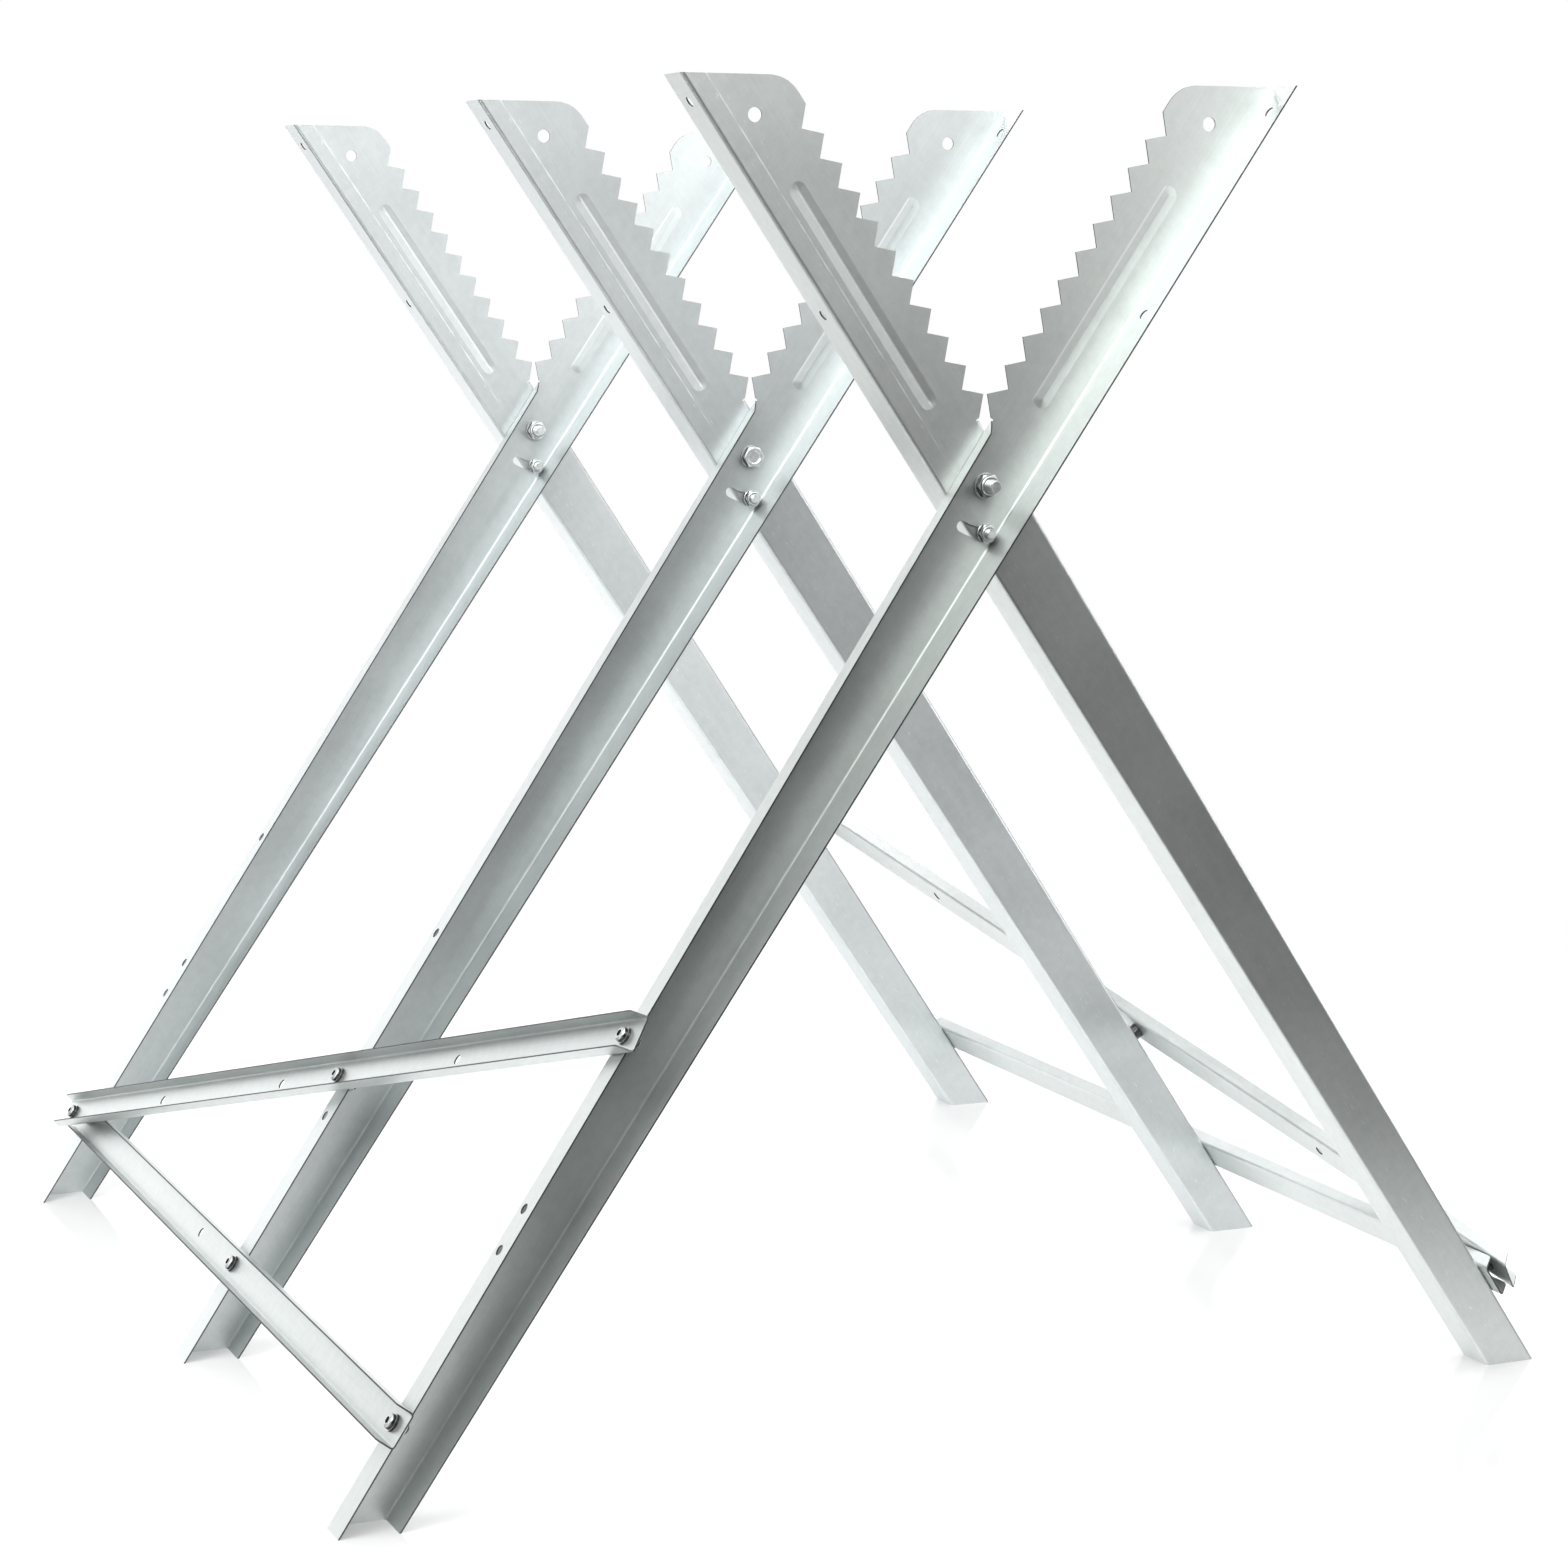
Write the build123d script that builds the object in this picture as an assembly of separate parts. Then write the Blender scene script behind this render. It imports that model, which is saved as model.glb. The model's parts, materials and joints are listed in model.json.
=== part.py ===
from build123d import *
import os
from math import atan, atan2, cos, degrees, hypot, radians, sin, sqrt, tan

# Folding log sawhorse: three crossed pairs of pressed sheet legs, tied together by two braces a side.
# X runs across the trestle, Y along the log from the near frame to the far one, Z up from the floor.
# Sizes are in millimetres and degrees.

# Standing trestle
leg_slope = 55.3  # open leg against the floor
pivot_height = 579.0  # floor to the pivot axis
near_bay = 355.0  # near frame to middle frame
far_bay = 440.0  # middle frame to far frame
fold_travel = 64.0  # how far the right panel closes towards the left one

# Leg sheet, measured from the leg axis through the pivot
sheet = 1.0
bend_radius = 1.3  # inside every bend
plain_side = 24.0  # axis to the outside of the plain flange
plain_depth = 26.5  # plain flange, from the back of the web
blank_side = 29.5  # axis to the tooth tips, the edge of the flat blank
slant_side = 18.4  # axis to the outside of the slanted flange, level with the pivot
slant_angle = 1.02  # slanted flange against the axis

# Toothed edge
tooth_count = 10
tooth_pitch = 20.0
rack_start = 34.5  # pivot to the first root
relief_width = 1.6  # first root to the slanted flange
relief_depth = 2.4  # below the first root
land = 7.7  # straight edge above the last root
corner_radius = 22.0

# Pressed bead along the toothed half
bead_width = 11.0
bead_side = 2.0  # axis to the middle of the bead, towards the plain flange
bead_height = 0.55
bead_margin = 22.0  # rack ends to bead ends
bead_slope = 6.0  # its sides against the sheet

# Holes in the leg
top_hole = 8.5
top_hole_step = 12.3  # start of the land to the hole
rim_hole = 6.5  # pair in the plain flange beside the teeth
rim_hole_depth = 14.0
rim_hole_margin = 19.0  # below the top corner of the leg
rim_hole_step = 145.0
foot_to_low_hole = 65.8  # along the axis
low_to_high_hole = 253.5

# Braces, U channels that open outwards
brace_width = 23.5
brace_height = 9.8
brace_end = 17.0  # past the end bolt
brace_cut = 6.5  # flanges cut back at the ends
brace_corner = 4.0  # rounding of the cut
spare_hole_low = 170.0  # unused holes of the diagonal, from its low and high end bolts
spare_hole_high = 206.0

# Pivot bolts
pivot_bolt = 8.0
pivot_flats = 13.0
pivot_head = 5.3
pivot_nut = 6.5
pivot_washer = 15.0
pivot_tip = 7.0  # thread past the nut

# Stop bolts and brace bolts
small_bolt = 6.0
small_flats = 10.0
small_head = 4.0
small_nut = 5.0
small_washer = 11.0
stop_tip = 3.2
brace_tip = 2.4
washer_thick = 1.6

# Round heads of the brace bolts
round_head = 9.5
round_height = 3.0
round_edge = 2.3
socket_flats = 4.0
socket_depth = 1.8

# Clearances
leg_gap = 0.2  # between the two webs of a frame
turn_gap = 0.1  # washer to a web that turns under it
pivot_fit = 0.05  # round the pivot bolt
thread_fit = 0.05  # round a bolt in its nut
washer_fit = 0.2  # round a bolt in its washer
bolt_fit = 0.3  # round a small bolt in its hole or slot
flange_fit = 0.3  # stop washer to the bend of the plain flange
nut_fit = 0.9  # brace nut to the bend of the slanted flange

# Sizes that follow from those above
slope_sin = sin(radians(leg_slope))
slope_cos = cos(radians(leg_slope))
slant_sin = sin(radians(slant_angle))
slant_cos = cos(radians(slant_angle))
slant_rise = tan(radians(slant_angle))
bend_outside = bend_radius + sheet
bays = near_bay + far_bay
frame_y = {"near": -bays / 2, "middle": near_bay - bays / 2, "far": bays / 2}

tooth_height = tooth_pitch / 2
root_side = blank_side - tooth_height
rack_end = rack_start + tooth_count * tooth_pitch
land_start = rack_end + tooth_height
corner_tangent = corner_radius * tan(radians(leg_slope / 2))
corner = land_start + land + corner_tangent
flange_top = rack_start - relief_width
leg_foot = -pivot_height / slope_sin
reach = 2 * (corner - leg_foot)

small_radius = small_bolt / 2
brace_hole_depth = bend_outside + nut_fit + small_flats / sqrt(3)
low_hole = leg_foot + foot_to_low_hole
brace_angle = atan2(low_to_high_hole, bays)  # between the two braces of a panel, in radians
diagonal_run = hypot(bays, low_to_high_hole)  # between the end bolts, seen square to the panel
crossing = brace_width / 2 / tan(brace_angle / 2)  # shared bolt to where the two braces part
diagonal_fall = brace_height / (diagonal_run + brace_end - crossing)
diagonal_tilt = atan(diagonal_fall)
brace_levels = [0, near_bay / bays, far_bay / bays, 1]
stop_drop = plain_side - bend_outside - flange_fit - small_washer / 2
stop_radius = stop_drop / slope_cos


def top_at(side):
    """Where the level top cut crosses the leg, at a distance from the axis."""
    return corner + (blank_side - side) * slope_cos / slope_sin


def foot_at(side):
    """Where the level foot cut crosses the leg, at a distance from the axis."""
    return leg_foot - side * slope_cos / slope_sin


def through(outline, depth):
    """Prism of a flat outline, an equal depth to both sides."""
    return extrude(outline, depth, both=True)


# Leg, lying flat: X up the axis from the pivot, Y to the toothed side, Z to the flanges

slant_face = Plane((0, slant_side, 0), (slant_cos, slant_sin, 0), (-slant_sin, slant_cos, 0))


def rack_points():
    """Roots and tips of the teeth, from the land down to the first root."""
    points = []
    for tooth in range(tooth_count, 0, -1):
        root = rack_start + tooth * tooth_pitch
        points.append((root, root_side))
        points.append((root - tooth_pitch / 2, blank_side))
    points.append((rack_start, root_side))
    return points


def web():
    """Flat plate between the bends, with the toothed edge and the relief."""
    plain = bend_outside - plain_side
    slanted = slant_side - bend_outside / slant_cos
    foot_slanted = -(pivot_height + slanted * slope_cos) / (slope_sin + slant_rise * slope_cos)
    relief_side = root_side - relief_depth
    outline = Polygon(
        (foot_at(plain), plain),
        (top_at(plain), plain),
        (corner, blank_side),
        (land_start, blank_side),
        *rack_points(),
        (rack_start, relief_side),
        (flange_top, relief_side),
        (flange_top, slanted + flange_top * slant_rise),
        (foot_slanted, slanted + foot_slanted * slant_rise),
        align=None,
    )
    top_corner = outline.vertices().sort_by_distance((corner, blank_side, 0))[0]
    return extrude(fillet(top_corner, corner_radius), sheet)


def bent_edge(width, depth):
    """Section of a bent edge: outside corner at the origin, web to +X and flange to +Y."""
    section = Rectangle(width, sheet, align=Align.MIN) + Rectangle(sheet, depth, align=Align.MIN)
    inside = section.vertices().sort_by_distance((sheet, sheet, 0))[0]
    section = fillet(inside, bend_radius)
    outside = section.vertices().sort_by_distance((0, 0, 0))[0]
    return fillet(outside, bend_outside)


def level_cuts():
    """Room between the level cuts at the foot and at the top."""
    sides = (-2 * plain_side, 2 * blank_side)
    feet = [(foot_at(side), side) for side in sides]
    tops = [(top_at(side), side) for side in reversed(sides)]
    return through(Polygon(*feet, *tops, align=None), 2 * plain_depth)


def plain_flange():
    """Straight flange on the side away from the teeth."""
    start = Plane((-reach / 2, -plain_side, 0), (0, 1, 0), (1, 0, 0))
    return extrude(start * bent_edge(2 * bend_outside, plain_depth), reach) & level_cuts()


def slanted_flange():
    """Flange of the lower half, on a slanted bend, so it grows deeper towards the foot.

    Its upper corner is the lower flank of the last tooth.
    """
    top = slant_face * Pos(flange_top / slant_cos, 0, 0)
    start = Plane(top.position, -slant_face.z_dir, -slant_face.x_dir)
    flange = extrude(start * bent_edge(2 * bend_outside, 2 * blank_side), reach) & level_cuts()
    below_foot = -reach / 2
    blank_edge = ((below_foot, blank_side), (rack_start - tooth_height, blank_side), (rack_start, root_side))
    edge = [(along, side - slant_side - along * slant_rise) for along, side in blank_edge]
    blank = Polygon((rack_start, -sheet), (below_foot, -sheet), *edge, align=None)
    return flange & through(Plane.XZ * blank, reach)


def bead(width, margin):
    """Long raised strip with sloping sides, standing on XY."""
    length = rack_end - rack_start - 2 * margin
    strip = Pos((rack_start + rack_end) / 2, -bead_side) * SlotOverall(length, width)
    return extrude(strip, bead_height, taper=90 - bead_slope)


def stop_slot():
    """Curved slot for the stop bolt: the bolt hangs below the pivot when open and travels half the fold."""
    hanging = 180 + 90 - leg_slope
    travel = fold_travel / 2
    arc = CenterArc((0, 0), stop_radius, hanging - travel, travel)
    return SlotArc(arc, small_bolt + 2 * bolt_fit)


def leg():
    """One leg, the same six times."""
    body = web() + plain_flange() + slanted_flange()
    body += Pos(0, 0, sheet) * bead(bead_width, bead_margin)
    inset = sheet * tan(radians(bead_slope / 2))
    body -= bead(bead_width - 2 * inset, bead_margin + inset)
    body -= through(Circle(pivot_bolt / 2 + pivot_fit), 2 * sheet)
    body -= through(stop_slot(), 2 * sheet)
    body -= through(Pos(land_start + top_hole_step, 0) * Circle(top_hole / 2), 2 * sheet)
    for step in (0, rim_hole_step):
        place = Pos(top_at(-plain_side) - rim_hole_margin - step, -plain_side, rim_hole_depth)
        body -= place * Rot(90, 0, 0) * Cylinder(rim_hole / 2, 4 * bend_outside)
    for level in brace_levels:
        place = slant_face * Pos(low_hole + level * low_to_high_hole, -brace_hole_depth, 0)
        body -= place * Cylinder(small_radius + bolt_fit, 4 * bend_outside)
    return body


# Braces and fasteners


def brace(length, holes):
    """U channel along X, first bolt at the origin, flanges up and cut back to a round at the ends."""
    edge = Plane.YZ * Pos(-brace_width / 2, 0) * bent_edge(brace_width / 2, brace_height)
    half = Pos(-brace_end, 0, 0) * extrude(edge, length + 2 * brace_end)
    channel = half + mirror(half, Plane.XZ)
    start, end = -brace_end, length + brace_end
    side = Polygon(
        (start, 0), (end, 0), (end, sheet), (end - brace_cut, brace_height),
        (start + brace_cut, brace_height), (start, sheet), align=None,
    )
    side = fillet(side.vertices().group_by(Axis.Y)[-1], brace_corner)
    channel &= through(Plane.XZ * side, brace_width)
    for hole in holes:
        channel -= Pos(hole, 0, 0) * Cylinder(small_radius + bolt_fit, 4 * sheet)
    return channel


def hexagon(flats, height):
    """Hexagon block on XY with both rims turned off round its corners."""
    block = extrude(RegularPolygon(flats / 2, 6, major_radius=False), height)
    round_off = flats / sqrt(3) - flats / 2
    rim = Cylinder(flats / sqrt(3), height, align=(Align.CENTER, Align.CENTER, Align.MIN))
    return block & chamfer(rim.edges().filter_by(GeomType.CIRCLE), round_off / 2, round_off)


def shank(diameter, length):
    """Round rod standing on XY, its end turned off."""
    rod = Cylinder(diameter / 2, length, align=(Align.CENTER, Align.CENTER, Align.MIN))
    tip = rod.edges().filter_by(GeomType.CIRCLE).sort_by(Axis.Z)[-1]
    return chamfer(tip, diameter / 8)


def bolt(diameter, flats, head, length):
    """Hexagon bolt: head below XY, shank above it."""
    return shank(diameter, length) + Pos(0, 0, -head) * hexagon(flats, head)


def round_bolt(length):
    """Brace bolt with a round head and a hexagon socket: head above XY, shank below it."""
    head = Cylinder(round_head / 2, round_height, align=(Align.CENTER, Align.CENTER, Align.MIN))
    crown = head.edges().filter_by(GeomType.CIRCLE).sort_by(Axis.Z)[-1]
    key = RegularPolygon(socket_flats / 2, 6, major_radius=False)
    socket = Pos(0, 0, round_height) * through(key, socket_depth)
    return fillet(crown, round_edge) - socket + Rot(180, 0, 0) * shank(small_bolt, length)


def nut(diameter, flats, height):
    """Hexagon nut standing on XY."""
    return hexagon(flats, height) - Cylinder(diameter / 2 + thread_fit, 4 * height)


def washer(diameter, outside, thick):
    """Flat washer standing on XY."""
    return extrude(Circle(outside / 2) - Circle(diameter / 2 + washer_fit), thick)


# Left panel, which turned half round about the vertical is also the right one


def leg_place(y):
    """Place of a left leg in the frame at a given Y."""
    return Plane((0, y - leg_gap / 2, pivot_height), (slope_cos, 0, slope_sin), (0, -1, 0)).location


def lower_brace_place():
    return Pos(low_hole, -brace_hole_depth, 0) * Rot(0, 0, 90)


def diagonal_rest(run):
    """Height of the diagonal over the flange faces, a distance from the bolt it shares with the lower brace.

    It lies on the edges of the lower brace and comes down to the leg at its other end.
    """
    return (diagonal_run + brace_end - run) * diagonal_fall


def diagonal_place():
    """From the shared bolt at the last leg up to the high hole of the first leg."""
    heading = degrees(brace_angle) - 90
    low_end = Pos(low_hole, bays - brace_hole_depth, diagonal_rest(0))
    return low_end * Rot(0, 0, heading) * Rot(0, degrees(diagonal_tilt), 0)


def lower_brace():
    return lower_brace_place() * brace(bays, [level * bays for level in brace_levels])


def diagonal_brace():
    length = diagonal_run / cos(diagonal_tilt)
    holes = [level * length for level in brace_levels]
    holes += [spare_hole_low, length - spare_hole_high]
    return diagonal_place() * brace(length, holes)


def diagonal_shares(middle_bay):
    """Where the diagonal meets the three legs, as shares of its run from the shared bolt."""
    return (0, 1 - middle_bay / bays, 1)


def brace_joints(middle_bay):
    """Bolt places on the slanted flanges, each with the height of the brace face under its washer."""
    joints = [(Pos(low_hole, along - brace_hole_depth, 0), sheet) for along in (0, middle_bay)]
    for share in diagonal_shares(middle_bay):
        up = low_hole + share * low_to_high_hole
        along = (1 - share) * bays
        face = diagonal_rest(share * diagonal_run - small_washer / 2) + sheet / cos(diagonal_tilt)
        joints.append((Pos(up, along - brace_hole_depth, 0), face))
    return joints


def brace_bolts(middle_bay):
    below = sheet + small_nut + brace_tip
    bolts = []
    for place, face in brace_joints(middle_bay):
        seat = face + washer_thick
        bolts.append(place * Pos(0, 0, seat) * round_bolt(seat + below))
    return bolts


def brace_washers(middle_bay):
    """One under each head, and a spacer that fills the room under the diagonal at the middle leg."""
    under_head = washer(small_bolt, small_washer, washer_thick)
    joints = brace_joints(middle_bay)
    rings = [place * Pos(0, 0, face) * under_head for place, face in joints]
    middle_run = diagonal_shares(middle_bay)[1] * diagonal_run
    spacer = washer(small_bolt, small_washer, diagonal_rest(middle_run + small_washer / 2))
    return rings + [joints[-2][0] * spacer]


def brace_nuts(middle_bay):
    one = Pos(0, 0, -sheet - small_nut) * nut(small_bolt, small_flats, small_nut)
    return [place * one for place, face in brace_joints(middle_bay)]


def panel_place(y):
    """Slanted flange faces of a left panel whose first leg is in the frame at a given Y."""
    return leg_place(y) * slant_face.location


# Bolts of a frame, built along Z from the middle of the gap between the webs towards -Y

half_grip = leg_gap / 2 + sheet


def clamped(bolt_size, flats, head, nut_height, outside, tip, gaps):
    """Bolt, nut and washer pair through both webs; gaps are the air under the nut and head washers."""
    nut_gap, head_gap = gaps
    nut_face = half_grip + nut_gap
    head_face = half_grip + head_gap
    length = head_face + nut_face + 2 * washer_thick + nut_height + tip
    screw = Pos(0, 0, -head_face - washer_thick) * bolt(bolt_size, flats, head, length)
    ring = washer(bolt_size, outside, washer_thick)
    rings = [Pos(0, 0, nut_face) * ring, Pos(0, 0, -head_face - washer_thick) * ring]
    hexagon_nut = Pos(0, 0, nut_face + washer_thick) * nut(bolt_size, flats, nut_height)
    return {"bolt": screw, "nut": hexagon_nut, "washers": Compound(children=rings)}


def pivot_set(y, head_first):
    """Pivot bolt: tight on the left leg, which faces the near end, and free of the right one."""
    gaps = (turn_gap, 0) if head_first else (0, turn_gap)
    parts = clamped(pivot_bolt, pivot_flats, pivot_head, pivot_nut, pivot_washer, pivot_tip, gaps)
    place = Pos(0, y, pivot_height) * Rot(-90 if head_first else 90, 0, 0)
    return {f"pivot_{name}": place * part for name, part in parts.items()}


def stop_set(y):
    """Stop bolt, hanging straight below the pivot and free of both legs."""
    gaps = (turn_gap, turn_gap)
    parts = clamped(small_bolt, small_flats, small_head, small_nut, small_washer, stop_tip, gaps)
    place = Pos(0, y, pivot_height - stop_radius) * Rot(90, 0, 0)
    return {f"stop_{name}": place * part for name, part in parts.items()}


# All the pieces, by name

half_turn = Rot(0, 0, 180)
one_leg = leg()
nodes = {}
for frame, y in frame_y.items():
    nodes[f"{frame}_left_leg"] = leg_place(y) * one_leg
    nodes[f"{frame}_right_leg"] = half_turn * leg_place(-y) * one_leg
    fasteners = pivot_set(y, head_first=frame == "middle") | stop_set(y)
    nodes |= {f"{frame}_{name}": part for name, part in fasteners.items()}

one_lower_brace = lower_brace()
one_diagonal_brace = diagonal_brace()
sides = {
    "left": (panel_place(frame_y["near"]), near_bay),
    "right": (half_turn * panel_place(-frame_y["far"]), far_bay),
}
for side, (place, middle_bay) in sides.items():
    nodes[f"{side}_lower_brace"] = place * one_lower_brace
    nodes[f"{side}_diagonal_brace"] = place * one_diagonal_brace
    groups = {
        "bolts": brace_bolts(middle_bay),
        "washers": brace_washers(middle_bay),
        "nuts": brace_nuts(middle_bay),
    }
    for name, solids in groups.items():
        nodes[f"{side}_brace_{name}"] = Compound(children=[place * solid for solid in solids])

os.makedirs("parts", exist_ok=True)
for name, shape in nodes.items():
    export_step(shape, f"parts/{name}.step")
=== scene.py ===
import json
from math import atan2, ceil, cos, hypot, pi, radians, sin, tau

import bmesh
import bpy
from mathutils import Matrix, Vector

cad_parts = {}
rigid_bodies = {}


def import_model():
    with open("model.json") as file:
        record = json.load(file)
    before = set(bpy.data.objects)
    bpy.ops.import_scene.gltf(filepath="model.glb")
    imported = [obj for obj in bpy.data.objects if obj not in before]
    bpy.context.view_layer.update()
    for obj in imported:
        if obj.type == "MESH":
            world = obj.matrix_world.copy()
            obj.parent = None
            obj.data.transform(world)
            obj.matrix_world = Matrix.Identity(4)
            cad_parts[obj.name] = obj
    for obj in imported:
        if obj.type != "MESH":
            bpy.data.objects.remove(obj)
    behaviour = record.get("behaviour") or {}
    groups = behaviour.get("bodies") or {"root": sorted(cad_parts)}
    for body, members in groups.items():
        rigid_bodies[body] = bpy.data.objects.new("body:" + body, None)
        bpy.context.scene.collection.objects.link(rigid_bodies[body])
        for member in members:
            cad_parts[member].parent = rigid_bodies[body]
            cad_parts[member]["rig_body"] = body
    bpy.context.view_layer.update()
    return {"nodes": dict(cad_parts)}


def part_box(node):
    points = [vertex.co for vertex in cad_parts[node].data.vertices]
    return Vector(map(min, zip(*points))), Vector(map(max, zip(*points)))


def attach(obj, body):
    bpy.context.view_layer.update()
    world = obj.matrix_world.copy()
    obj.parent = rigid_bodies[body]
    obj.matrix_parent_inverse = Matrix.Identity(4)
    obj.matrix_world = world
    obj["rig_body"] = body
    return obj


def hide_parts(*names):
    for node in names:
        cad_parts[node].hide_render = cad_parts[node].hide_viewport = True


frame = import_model()
nodes = frame["nodes"]

# Trestle sizes, in metres and radians
leg_slope = radians(55.3)
slant_angle = radians(1.02)  # slanted flange against the leg
slant_side = 0.0184  # leg's axis to the outside of the slanted flange, level with the pivot
pivot_height = 0.579
frame_places = {"near": -0.3975, "middle": -0.0425, "far": 0.3975}
leg_gap = 0.0002  # between the two webs of a frame
sheet = 0.001
bend_outside = 0.0023
bays = 0.795  # near frame to far frame
low_to_high_hole = 0.2535  # up the leg, between the holes of the two braces
low_hole = -0.6385  # up the slanted flange, pivot to the bolts of the lower brace
bolt_line = 0.0091  # middle of a frame to the bolts of the braces
diagonal_lift = 0.01075  # back of the diagonal over the slanted flanges, at the shared bolt
diagonal_fall = 0.01263  # towards its other end, per metre

# Marks of the press, and painted highlight lines along the bead, on the upper arm of a leg, in metres
forming_line = 0.0115  # leg's axis to the line on the back of the web
forming_width = 0.0006
forming_start = (0.02, 0.05)  # where the line comes up, from the pivot
scuff_reach = (0.002, 0.010)  # fade of the scuffs beside the line
bead_start = 0.0565  # pivot to the bead, up the leg
bead_end = 0.2125
bead_ramp = 0.004
bead_highlight_back = 0.0017  # leg's axis to the painted highlight line on the back of the bead
bead_highlight_front = -0.0029  # the same on its front
bead_highlight_width = 0.0008

# How strongly the marks burnish the zinc, and the strength of the painted highlight lines on the bead
line_strength = 0.8
scuff_strength = 0.5
back_highlight_strength = 1.0
front_highlight_strength = 0.4

# Where masks on a sheet come up, by the share of one of its axes in a face's direction
end_facing = (0.45, 0.60)
web_facing = (0.35, 0.45)
flange_facing = (0.70, 0.80)
flat_facing = (0.90, 0.98)
web_inside = (1.06 * sheet, 1.12 * sheet)  # just past the inner face of the web
flange_foot = (bend_outside, 1.05 * bend_outside)  # just past the bend

# Zinc sheet: grain in noise cells per metre, and colours from dark to light
cloud_grain = 11.0
tint_grain = 4.0
patch_grain = 160.0
speck_grain = 900.0
rolling_grain = (9.0, 900.0, 900.0)  # drawn out along the sheet
wear_grain = (70.0, 1.0, 500.0)
scuff_grain = (160.0, 1.0, 900.0)
tone_range = (0.3, 0.7)
wear_range = (0.30, 0.65)
scuff_range = (0.66, 0.74)
greenish_zinc = ((0.551, 0.580, 0.565, 1), (0.651, 0.685, 0.667, 1))
bluish_zinc = ((0.548, 0.580, 0.583, 1), (0.648, 0.685, 0.689, 1))
# light zinc of the press marks, also the colour of the painted highlight lines on the bead
burnish_and_highlight_zinc = (0.94, 0.96, 0.95, 1)
# bare steel of the sheared edges and hole walls, painted near black as painted shade
cut_edge_painted_shade = 0.10
sheet_metallic = 0.82
sheet_rough = 0.345
sheet_bump = (0.05, 0.0002)  # strength, and height in metres

# Share of the bluish tone in the zinc, from sheet to sheet
sheet_tints = {"near": 0.05, "middle": 0.75, "far": 0.85, "left": 0.35, "right": 0.35}
tint_drift = 0.15

# Plating of the fasteners
plating_grain = 420.0
plating_specks = 2600.0
plating = ((0.585, 0.61, 0.605, 1), (0.72, 0.75, 0.745, 1))
plating_metallic = 0.85
plating_rough = 0.34
plating_bump = (0.06, 0.0001)
rim_range = (0.35, 0.65)  # share of the axis in a face's direction, from rim to flat face
rim_polish = 0.20  # how much less rough the rims are
frame_rim_painted_shade = 0.14  # painted shade on the rims of the frames' fasteners
brace_rim_painted_shade = 0.08  # the same on the braces

# Pivot and stop fasteners: bolt, thread pitch, width over the flats, head and the collar of the nut
fastener_sizes = {
    "pivot": {"bolt": 0.008, "pitch": 0.00125, "flats": 0.013, "head": 0.0053, "collar": 0.0018},
    "stop": {"bolt": 0.006, "pitch": 0.001, "flats": 0.010, "head": 0.004, "collar": 0.0013},
}
washer_thick = 0.0016
washer_edge = 0.0003
washer_fit = 0.0002
thread_fit = 0.00005
thread_depth = 0.55  # crest to root, as a share of the pitch
thread_flat = 0.15  # crest and root flats, as a share of the pitch
thread_steps = 24
thread_merge = 0.001  # points closer than this share of the pitch are one
tip_ease = 0.125  # turned-off tip of a bolt, as a share of its width
ring_points = 48
sharp_edge = radians(32)
face_share = 0.94  # flat face of a head or nut, as a share of the flats
trim_share = 0.03  # height of its trimmed corners, the same way
corner_fall = 0.55  # how far a hexagon's trimmed corners fall, for their reach past the flats
dish_depth = 0.0009
dish_share = 0.72  # dished middle of a head, as a share of its width
dish_bottom = 0.8  # as a share of the dish
collar_foot = 0.93  # collar of a nut, as a share of the flats
collar_shoulder = 0.90
collar_edge = 1 / 3  # eased edge of a collar, as a share of its height
collar_mouth = 1 / 4  # eased mouth of its bore, the same way

# Floor: where each of its sides fades in or out
floor_left = (-0.80, -0.48)
floor_right = (0.90, 1.30)
floor_front = (-0.95, -0.55)
floor_back = (0.90, 1.40)
floor_glow = 0.5  # light that it gives to the trestle
floor_seen = 0.2  # the same for the camera, low enough for faint mirror images
paper_grain = 60.0
paper_shades = (0.64, 0.66)
paper_rough = 0.12
paper_ior = 1.5

# Light from all round, except from low on the camera's side
ambient = 0.1
dark_front = (0.20, 0.45)
dark_low = (0.50, 0.70)

# Soft lights: place, point aimed at, width, height and radiance
soft_lights = {
    "top_near": ((0, -0.25, 1.8), (0, -0.25, 0), 1.8, 0.9, 3.2),
    "top_back": ((0, 1.7, 1.8), (0, 1.7, 0), 2.4, 1.0, 3.3),
    "top_right": ((1.15, 0.4, 1.8), (0.2, 0.2, 0.3), 0.7, 2.0, 1.4),
    "back": ((1.15, 2.3, 0.7), (1.15, 0, 0.7), 3.7, 1.2, 1.2),
    "back_left": ((-1.4, 2.3, 0.7), (-1.4, 0, 0.7), 1.4, 1.4, 2.0),
    "back_low": ((0, 2.3, -0.45), (0, 0, -0.45), 2.4, 1.1, 1.7),
    "left_inner": ((-1.2, -0.25, 0.8), (-0.56, 0.52, 0.8), 0.6, 1.6, 3.0),
    "right_inner": ((1.2, -0.25, 0.8), (0.56, 0.52, 0.8), 0.6, 1.6, 0.5),
    "far_inner": ((0.7, -0.3, 0.8), (0.05, 0.45, 0.75), 0.4, 1.2, 2.5),
    "high_left": ((-0.9, -0.9, 1.7), (-0.2, -0.05, 0.7), 1.2, 0.9, 6.1),
    "near_right": ((0.73, -1.17, 0.93), (0.13, -0.4, 0.76), 0.5, 0.5, 2.3),
    "near_high": ((-0.05, -1.44, 1.32), (0.13, -0.4, 0.76), 0.6, 0.4, 9.8),
    "near_left": ((-1.3, -0.95, 1.1), (-0.3, -0.4, 0.3), 0.5, 0.5, 1.2),
}

# Camera: lens and film width in millimetres, place in metres, turn in degrees
camera_lens = 82.02
film_width = 36.0
camera_place = (-0.9388, -2.2795, 0.7011)
camera_turn = (81.884, -0.157, -23.302)


# Shader values


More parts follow.
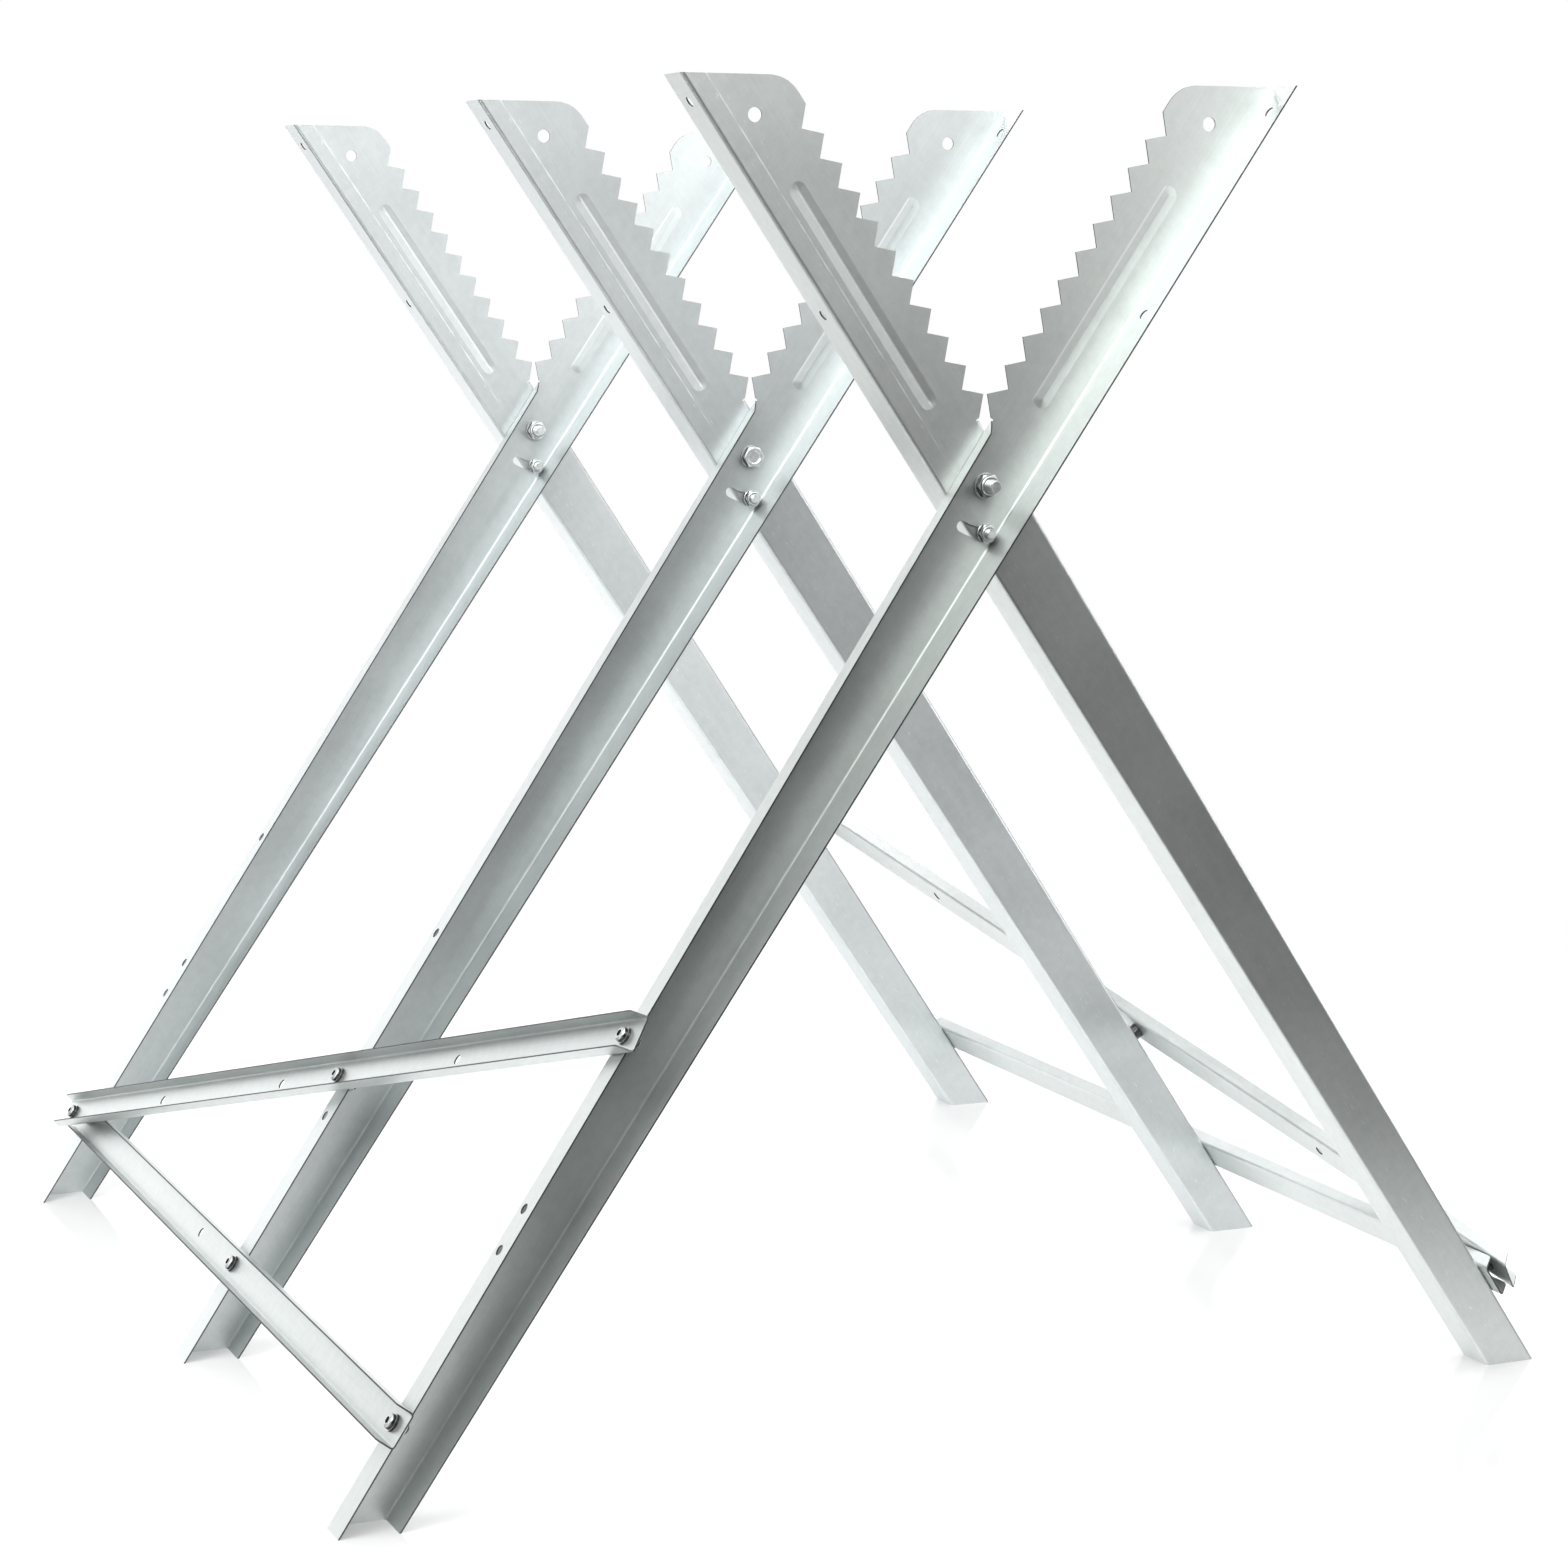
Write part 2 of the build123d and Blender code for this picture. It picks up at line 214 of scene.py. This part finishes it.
class Value:
    """A socket's value in a node tree; arithmetic on it adds Math nodes."""

    def __init__(self, tree, socket=None):
        self.tree = tree
        self.socket = socket

    def node(self, kind, settings=None, inputs=None, output=0):
        """Add a node, set it up, feed its sockets and return one of its outputs."""
        made = self.tree.nodes.new(kind)
        for name, setting in (settings or {}).items():
            setattr(made, name, setting)
        for name, given in (inputs or {}).items():
            if isinstance(given, Value):
                self.tree.links.new(given.socket, made.inputs[name])
            else:
                made.inputs[name].default_value = given
        return Value(self.tree, None if output is None else made.outputs[output])

    def math(self, operation, *given):
        return self.node("ShaderNodeMath", {"operation": operation}, dict(enumerate(given)))

    def __add__(self, other):
        return self.math("ADD", self, other)

    __radd__ = __add__

    def __sub__(self, other):
        return self.math("SUBTRACT", self, other)

    def __rsub__(self, other):
        return self.math("SUBTRACT", other, self)

    def __mul__(self, other):
        return self.math("MULTIPLY", self, other)

    __rmul__ = __mul__

    def size(self):
        return self.math("ABSOLUTE", self)

    def most(self, other):
        return self.math("MAXIMUM", self, other)

    def step(self, low, high):
        """Smooth step from 0 at low to 1 at high."""
        inputs = {"Value": self, "From Min": low, "From Max": high}
        return self.node("ShaderNodeMapRange", {"interpolation_type": "SMOOTHSTEP"}, inputs)

    def between(self, start, end):
        """1 between two ramps, 0 outside them."""
        return self.step(*start) * (1 - self.step(*end))

    def blend(self, first, second):
        """Colour between two colours, with this value as the share of the second."""
        return self.node("ShaderNodeMix", {"data_type": "RGBA"}, {0: self, 6: first, 7: second}, 2)

    def axis(self, name):
        """One axis of a vector."""
        return self.node("ShaderNodeSeparateXYZ", None, {0: self}, "XYZ".index(name))

    def along(self, direction):
        """How far a vector goes in a direction."""
        inputs = {0: self, 1: direction}
        return self.node("ShaderNodeVectorMath", {"operation": "DOT_PRODUCT"}, inputs, "Value")

    def placed(self, turn=(0, 0, 0), move=(0, 0, 0), scale=(1, 1, 1)):
        """Vector scaled, turned and then moved."""
        return self.node("ShaderNodeMapping", None, {0: self, 1: move, 2: turn, 3: scale})

    def noise(self, scale, detail=2.0):
        """Cloudy value at this place, from 0 to 1."""
        inputs = {"Vector": self, "Scale": scale, "Detail": detail}
        return self.node("ShaderNodeTexNoise", None, inputs)

    def bump(self, strength, distance):
        """Surface direction roughened by this value as a height."""
        inputs = {"Strength": strength, "Distance": distance, "Height": self}
        return self.node("ShaderNodeBump", None, inputs)


def new_material(name):
    """Empty material, and the start of its node tree."""
    material = bpy.data.materials.new(name)
    material.use_nodes = True
    material.node_tree.nodes.clear()
    return material, Value(material.node_tree)


def finish_surface(tree, inputs):
    """Principled surface from its sockets' values, as the material's output."""
    surface = tree.node("ShaderNodeBsdfPrincipled", None, inputs)
    tree.node("ShaderNodeOutputMaterial", None, {"Surface": surface}, None)


# Materials


def grey(level):
    return (level, level, level, 1)


def object_place(tree):
    return tree.node("ShaderNodeTexCoord", None, None, "Object")


def face_direction(tree):
    return tree.node("ShaderNodeTexCoord", None, None, "Normal")


def sheet_axes(along, depth):
    """Turn into a sheet's own axes: X along its bends, Y from its back to its flanges, Z across it."""
    return Matrix((along, depth, along.cross(depth)))


def cut_edges(spot, facing):
    """1 on sheared edges and in holes, 0 on the rolled faces, from place and facing in sheet axes."""
    depth = spot.axis("Y")
    ends = facing.axis("X").size().step(*end_facing)
    off_web = 1 - facing.axis("Y").size().step(*web_facing)
    off_flange = 1 - facing.axis("Z").size().step(*flange_facing)
    in_web = off_web * (1 - depth.step(*web_inside))
    in_flange = off_flange * depth.step(*flange_foot)
    return ends.most(in_web).most(in_flange)


def fine_line(spot, place, width):
    """1 on a thin line along the sheet, 0 beside it."""
    return 1 - (spot.axis("Z") - place).size().step(0.5 * width, width)


def press_marks_and_bead_highlights(spot, facing):
    """Lines and short scuffs that the press leaves on the upper arm of a leg, and painted highlight
    lines along its bead.
    """
    up_leg = spot.axis("X")
    front = facing.axis("Y").step(*flat_facing)
    back = (0 - facing.axis("Y")).step(*flat_facing)
    worn = spot.placed(scale=wear_grain).noise(1.0).step(*wear_range)
    line = fine_line(spot, forming_line, forming_width) * worn * up_leg.step(*forming_start)
    scuffs = spot.placed(scale=scuff_grain).noise(1.0, 1.0).step(*scuff_range)
    beside = 1 - (spot.axis("Z") - forming_line).size().step(*scuff_reach)
    on_bead = up_leg.between((bead_start, bead_start + bead_ramp), (bead_end - bead_ramp, bead_end))
    # painted highlights: thin light lines along the bead's back and front
    back_highlight = back_highlight_strength * back * fine_line(spot, bead_highlight_back, bead_highlight_width)
    front_highlight = front_highlight_strength * front * fine_line(spot, bead_highlight_front, bead_highlight_width)
    beside_teeth = back * (line_strength * line + scuff_strength * scuffs * beside)
    return beside_teeth + on_bead * (back_highlight + front_highlight)


def galvanised_sheet(name, axes, origin, bluish_share, pressed):
    """Rolled zinc-coated sheet, painted shade on its bare cut edges and holes, from the sheet's own axes
    and where they start.
    """
    material, tree = new_material(name)
    turn = axes.to_euler()
    spot = object_place(tree).placed(turn, -(axes @ origin))
    facing = face_direction(tree).placed(turn)
    cloud = spot.noise(cloud_grain, 3.0)
    tint = spot.noise(tint_grain)
    patches = spot.noise(patch_grain)
    specks = spot.noise(speck_grain)
    rolling = spot.placed(scale=rolling_grain).noise(1.0)
    edge = cut_edges(spot, facing)
    tone = (0.35 * cloud + 0.25 * patches + 0.2 * rolling + 0.2 * specks).step(*tone_range)
    bluish = bluish_share + tint_drift * tint
    zinc_colour = bluish.blend(tone.blend(*greenish_zinc), tone.blend(*bluish_zinc))
    if pressed:
        # press marks, and painted highlight lines along the bead
        zinc_colour = press_marks_and_bead_highlights(spot, facing).blend(zinc_colour, burnish_and_highlight_zinc)
    finish_surface(tree, {
        # painted shade: cut edges and hole walls darkened to near black
        "Base Color": edge.blend(zinc_colour, grey(cut_edge_painted_shade)),
        "Metallic": sheet_metallic,
        "Roughness": sheet_rough + 0.06 * cloud + 0.04 * patches + 0.05 * rolling + 0.12 * edge,
        "Normal": (0.6 * rolling + 0.4 * patches).bump(*sheet_bump),
    })
    return material


def plated_steel(name, axis, rim_painted_shade):
    """Bright zinc of bolts, nuts and washers, with smoother rims round their axis darkened by painted
    shade.
    """
    material, tree = new_material(name)
    place = object_place(tree)
    cloud = place.noise(plating_grain, 3.0)
    specks = place.noise(plating_specks)
    rim = 1 - face_direction(tree).along(axis).size().step(*rim_range)
    bright = cloud.step(*tone_range).blend(*plating)
    finish_surface(tree, {
        # painted shade and painted dark reflections on rims and sides that face across the axis
        "Base Color": rim.blend(bright, grey(rim_painted_shade)),
        "Metallic": plating_metallic,
        "Roughness": plating_rough + 0.10 * cloud + 0.06 * specks - rim_polish * rim,
        "Normal": specks.bump(*plating_bump),
    })
    return material


def floor_paper():
    """Pale, slightly shiny floor that fades out towards its rim."""
    material, tree = new_material("white_floor_paper")
    place = object_place(tree)
    dark, light = paper_shades
    across = place.axis("X").between(floor_left, floor_right)
    away = place.axis("Y").between(floor_front, floor_back)
    seen = tree.node("ShaderNodeLightPath", None, None, "Is Camera Ray")
    finish_surface(tree, {
        "Base Color": place.noise(paper_grain, 4.0).blend(grey(dark), grey(light)),
        "Roughness": paper_rough,
        "IOR": paper_ior,
        "Alpha": across * away,
        "Emission Color": seen.blend(grey(floor_glow), grey(floor_seen)),
        "Emission Strength": 1.0,
    })
    return material


half_turn = Matrix.Rotation(pi, 3, "Z")
panel_slope = leg_slope + slant_angle
outward = Vector((-sin(panel_slope), 0, cos(panel_slope)))  # from the left panel
level = Vector((0, 1, 0))  # along the fold axis


def leg_sheet(frame_y):
    """Axes of a left leg and their start: up from the pivot, with the flanges to the near side."""
    along = Vector((cos(leg_slope), 0, sin(leg_slope)))
    return sheet_axes(along, -level), Vector((0, frame_y - leg_gap / 2, pivot_height))


def brace_sheets():
    """Axes of the left panel's lower brace and diagonal, and their starts on the bolt they share."""
    up_panel = Vector((cos(panel_slope), 0, sin(panel_slope)))
    on_flange = Vector((0, frame_places["far"] - bolt_line, pivot_height))
    on_flange += slant_side * Vector((-sin(leg_slope), 0, cos(leg_slope)))
    shared_bolt = on_flange + low_hole * up_panel
    heading = (low_to_high_hole * up_panel - bays * level).normalized()
    along = (heading - diagonal_fall * outward).normalized()
    depth = (outward + diagonal_fall * heading).normalized()
    return {
        "lower_brace": (sheet_axes(level, outward), shared_bolt),
        "diagonal_brace": (sheet_axes(along, depth), shared_bolt + diagonal_lift * outward),
    }


def turned_half_round(axes, origin):
    """Axes and start of the right panel's twin of a sheet of the left panel."""
    return axes @ half_turn, half_turn @ origin


sheet_places = {}
for frame_name, frame_y in frame_places.items():
    sheet_places[f"{frame_name}_left_leg"] = leg_sheet(frame_y)
    sheet_places[f"{frame_name}_right_leg"] = turned_half_round(*leg_sheet(-frame_y))
for name, placing in brace_sheets().items():
    sheet_places[f"left_{name}"] = placing
    sheet_places[f"right_{name}"] = turned_half_round(*placing)

# fastener finishes, with painted shade on their rims
zinc = plated_steel("bright_zinc_plating", level, frame_rim_painted_shade)
brace_zinc = {
    "left": plated_steel("left_brace_plating", outward, brace_rim_painted_shade),
    "right": plated_steel("right_brace_plating", half_turn @ outward, brace_rim_painted_shade),
}
for name, piece in nodes.items():
    finish = zinc
    place = name.split("_")[0]
    if name in sheet_places:
        axes, origin = sheet_places[name]
        finish = galvanised_sheet(f"galvanised_{name}", axes, origin, sheet_tints[place], "leg" in name)
    elif place in brace_zinc and "nuts" not in name:
        finish = brace_zinc[place]
    piece.data.materials.clear()
    piece.data.materials.append(finish)


# Bolts, nuts and washers of the frames, each built along Z


def ring(shape, width, height, corners=False, fall=0.0):
    """Closed ring of edges at a height: round, or a hexagon over its flats with falling corners."""
    points = bmesh.ops.create_circle(shape, segments=ring_points, radius=width / 2)["verts"]
    for point in points:
        if corners:
            middle = atan2(point.co.y, point.co.x) % (tau / 6) - tau / 12
            past_flats = (1 / cos(middle) - 1) * width / 2
            point.co /= cos(middle)
            point.co.z = -fall * past_flats
        point.co.z += height
    return list(dict.fromkeys(edge for point in points for edge in point.link_edges))


def join_rings(shape, rings, around=False):
    """Skin over rings in order, closed back to the first or capped at both ends."""
    for first, second in zip(rings, rings[1:]):
        bmesh.ops.bridge_loops(shape, edges=first + second)
    if around:
        bmesh.ops.bridge_loops(shape, edges=rings[-1] + rings[0])
    else:
        for rim in (rings[0], rings[-1]):
            bmesh.ops.edgeloop_fill(shape, edges=rim)


def hexagon_head(shape, flats, head):
    """Head with trimmed corners and a dished top, outer face at Z zero and seat at the head's height."""
    dish = flats * dish_share
    rings = [
        ring(shape, dish * dish_bottom, dish_depth),
        ring(shape, dish, 0),
        ring(shape, flats * face_share, 0),
        ring(shape, flats, flats * trim_share, True, -corner_fall),
        ring(shape, flats, head, True),
    ]
    join_rings(shape, rings)


def cut_level(shape, height, side, close):
    """Cut a shape off at a height, above it or below it, and close the cut."""
    bmesh.ops.bisect_plane(
        shape, geom=shape.verts[:] + shape.edges[:] + shape.faces[:], dist=close,
        plane_co=(0, 0, height), plane_no=(0, 0, side), clear_outer=True,
    )
    open_edges = [edge for edge in shape.edges if edge.is_boundary]
    rim = [edge for edge in open_edges if abs(edge.verts[0].co.z - height) < 10 * close]
    bmesh.ops.holes_fill(shape, edges=rim)


def threaded_rod(shape, width, pitch, start, end):
    """Screw thread: its outline spun up the axis, cut level at both ends and eased at the tip."""
    outside = width / 2
    inside = outside - thread_depth * pitch
    flat = thread_flat * pitch
    slope = pitch / 2 - flat
    close = thread_merge * pitch
    crest = ((outside, flat + slope), (outside, 2 * flat + slope))
    steps = ((inside, 0), (inside, flat), *crest, (inside, pitch))
    points = [shape.verts.new((radius, 0, start - pitch + rise)) for radius, rise in steps]
    edges = [shape.edges.new(pair) for pair in zip(points, points[1:])]
    turns = ceil((end - start) / pitch) + 1
    bmesh.ops.spin(
        shape, geom=points + edges, axis=(0, 0, 1), cent=(0, 0, 0), dvec=(0, 0, pitch / thread_steps),
        angle=turns * tau, steps=turns * thread_steps,
    )
    bmesh.ops.remove_doubles(shape, verts=shape.verts, dist=close)
    cut_level(shape, start, -1, close)
    cut_level(shape, end, 1, close)
    for point in shape.verts:
        room = outside - max(0, point.co.z - end + tip_ease * width)
        reach = hypot(point.co.x, point.co.y)
        if reach > room:
            point.co.xy *= room / reach


def threaded_bolt(sizes, length, thread):
    """Hexagon bolt, head first, with a thread on the far end of its shank."""
    width = sizes["bolt"]
    rod = bmesh.new()
    threaded_rod(rod, width, sizes["pitch"], length - thread, length)
    shape = bmesh.new()
    shape.from_mesh(mesh_from(rod, "thread"))
    hexagon_head(shape, sizes["flats"], sizes["head"])
    join_rings(shape, [ring(shape, width, sizes["head"]), ring(shape, width, length - thread)])
    return shape


def collar_nut(sizes, height):
    """Hexagon nut with a round collar on its outer end, seat at Z zero."""
    shape = bmesh.new()
    flats = sizes["flats"]
    bore = sizes["bolt"] + 2 * thread_fit
    collar = sizes["collar"]
    shoulder = height - collar
    rings = [
        ring(shape, bore, 0),
        ring(shape, flats * face_share, 0),
        ring(shape, flats, flats * trim_share, True, -corner_fall),
        ring(shape, flats, shoulder, True, corner_fall),
        ring(shape, flats * collar_foot, shoulder),
        ring(shape, flats * collar_shoulder, height - collar * collar_edge),
        ring(shape, (flats + bore) / 2, height),
        ring(shape, bore, height - collar * collar_mouth),
    ]
    join_rings(shape, rings, around=True)
    return shape


def flat_washer(bore, outside, height):
    """Stamped washer with its outer edges eased, lower face at a height."""
    shape = bmesh.new()
    eased = outside - 2 * washer_edge
    top = height + washer_thick
    lower = ((bore, height), (eased, height), (outside, height + washer_edge))
    upper = ((outside, top - washer_edge), (eased, top), (bore, top))
    points = [shape.verts.new((width / 2, 0, rise)) for width, rise in lower + upper]
    edges = [shape.edges.new(pair) for pair in zip(points, points[1:] + points[:1])]
    bmesh.ops.spin(
        shape, geom=points + edges, axis=(0, 0, 1), cent=(0, 0, 0),
        angle=tau, steps=ring_points, use_merge=True,
    )
    return shape


def mesh_from(shape, name):
    """Mesh of a finished shape, smooth except at its edges."""
    bmesh.ops.recalc_face_normals(shape, faces=shape.faces)
    mesh = bpy.data.meshes.new(name)
    shape.to_mesh(mesh)
    shape.free()
    mesh.shade_smooth()
    mesh.set_sharp_from_angle(angle=sharp_edge)
    return mesh


def stand_for(node, shape, start, tip):
    """Lay a shape along Y from a start point towards the tip's side, in place of a node."""
    low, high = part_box(node)
    middle = (low + high) / 2
    turn = Matrix.Rotation(-tip * pi / 2, 4, "X")
    move = Matrix.Translation((middle.x, start, middle.z))
    bmesh.ops.transform(shape, matrix=move @ turn, verts=shape.verts)
    mesh = mesh_from(shape, f"{node}_shape")
    mesh.materials.append(zinc)
    piece = bpy.data.objects.new(f"{node}_shape", mesh)
    bpy.context.scene.collection.objects.link(piece)
    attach(piece, nodes[node]["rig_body"])
    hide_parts(node)


def reach_along(node):
    """Near and far end of a node along Y."""
    low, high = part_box(node)
    return low.y, high.y


def frame_fasteners(name, sizes, tip):
    """Bolt, nut and washers of one place in a frame, with the nut and tip towards -Y or +Y."""
    head_end = 0 if tip > 0 else 1
    bolt_ends = reach_along(f"{name}_bolt")
    nut_ends = reach_along(f"{name}_nut")
    washer_ends = reach_along(f"{name}_washers")
    past_nut = abs(bolt_ends[1 - head_end] - nut_ends[head_end])
    bolt = threaded_bolt(sizes, bolt_ends[1] - bolt_ends[0], past_nut + washer_thick)
    stand_for(f"{name}_bolt", bolt, bolt_ends[head_end], tip)
    nut = collar_nut(sizes, nut_ends[1] - nut_ends[0])
    stand_for(f"{name}_nut", nut, nut_ends[head_end], tip)
    low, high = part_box(f"{name}_washers")
    rings = bmesh.new()
    for height in (0, high.y - low.y - washer_thick):
        one = flat_washer(sizes["bolt"] + 2 * washer_fit, high.x - low.x, height)
        rings.from_mesh(mesh_from(one, "washer"))
    stand_for(f"{name}_washers", rings, washer_ends[head_end], tip)


for frame_name in frame_places:
    for kind, sizes in fastener_sizes.items():
        nut_behind = frame_name == "middle" and kind == "pivot"
        frame_fasteners(f"{frame_name}_{kind}", sizes, 1 if nut_behind else -1)


# Floor, light and camera


def make_floor():
    shape = bmesh.new()
    left, right, front, back = floor_left[0], floor_right[1], floor_front[0], floor_back[1]
    corners = ((left, front), (right, front), (right, back), (left, back))
    shape.faces.new([shape.verts.new((x, y, 0)) for x, y in corners])
    mesh = bpy.data.meshes.new("floor")
    shape.to_mesh(mesh)
    shape.free()
    mesh.materials.append(floor_paper())
    floor = bpy.data.objects.new("floor", mesh)
    bpy.context.scene.collection.objects.link(floor)


def studio_world():
    """White for the camera; for the light, an even studio that is dark low on the camera's side."""
    world = bpy.data.worlds.new("studio")
    bpy.context.scene.world = world
    world.use_nodes = True
    world.node_tree.nodes.clear()
    tree = Value(world.node_tree)
    direction = tree.node("ShaderNodeTexCoord", None, None, "Generated")
    front = (0 - direction.axis("Y")).step(*dark_front)
    low = 1 - direction.axis("Z").step(*dark_low)
    light = (front * low).blend(grey(ambient), grey(0.0))
    lit = tree.node("ShaderNodeBackground", None, {"Color": light})
    white = tree.node("ShaderNodeBackground", None, {"Color": grey(1.0)})
    seen = tree.node("ShaderNodeLightPath", None, None, "Is Camera Ray")
    both = tree.node("ShaderNodeMixShader", None, {0: seen, 1: lit, 2: white})
    tree.node("ShaderNodeOutputWorld", None, {"Surface": both}, None)


def soft_light(name, place, aim, width, height, radiance):
    """Large even light, left out of the camera's view."""
    lamp = bpy.data.lights.new(name, "AREA")
    lamp.shape = "RECTANGLE"
    lamp.size = width
    lamp.size_y = height
    lamp.energy = radiance * pi * width * height
    placed = bpy.data.objects.new(name, lamp)
    placed.location = place
    placed.rotation_euler = (Vector(aim) - Vector(place)).to_track_quat("-Z", "Y").to_euler()
    placed.visible_camera = False
    bpy.context.scene.collection.objects.link(placed)


def make_camera():
    camera = bpy.data.cameras.new("camera")
    camera.sensor_width = film_width
    camera.lens = camera_lens
    placed = bpy.data.objects.new("camera", camera)
    placed.location = camera_place
    placed.rotation_euler = [radians(angle) for angle in camera_turn]
    bpy.context.scene.collection.objects.link(placed)
    bpy.context.scene.camera = placed


make_floor()
studio_world()
for name, settings in soft_lights.items():
    soft_light(name, *settings)
make_camera()
bpy.context.scene.view_settings.view_transform = "Standard"
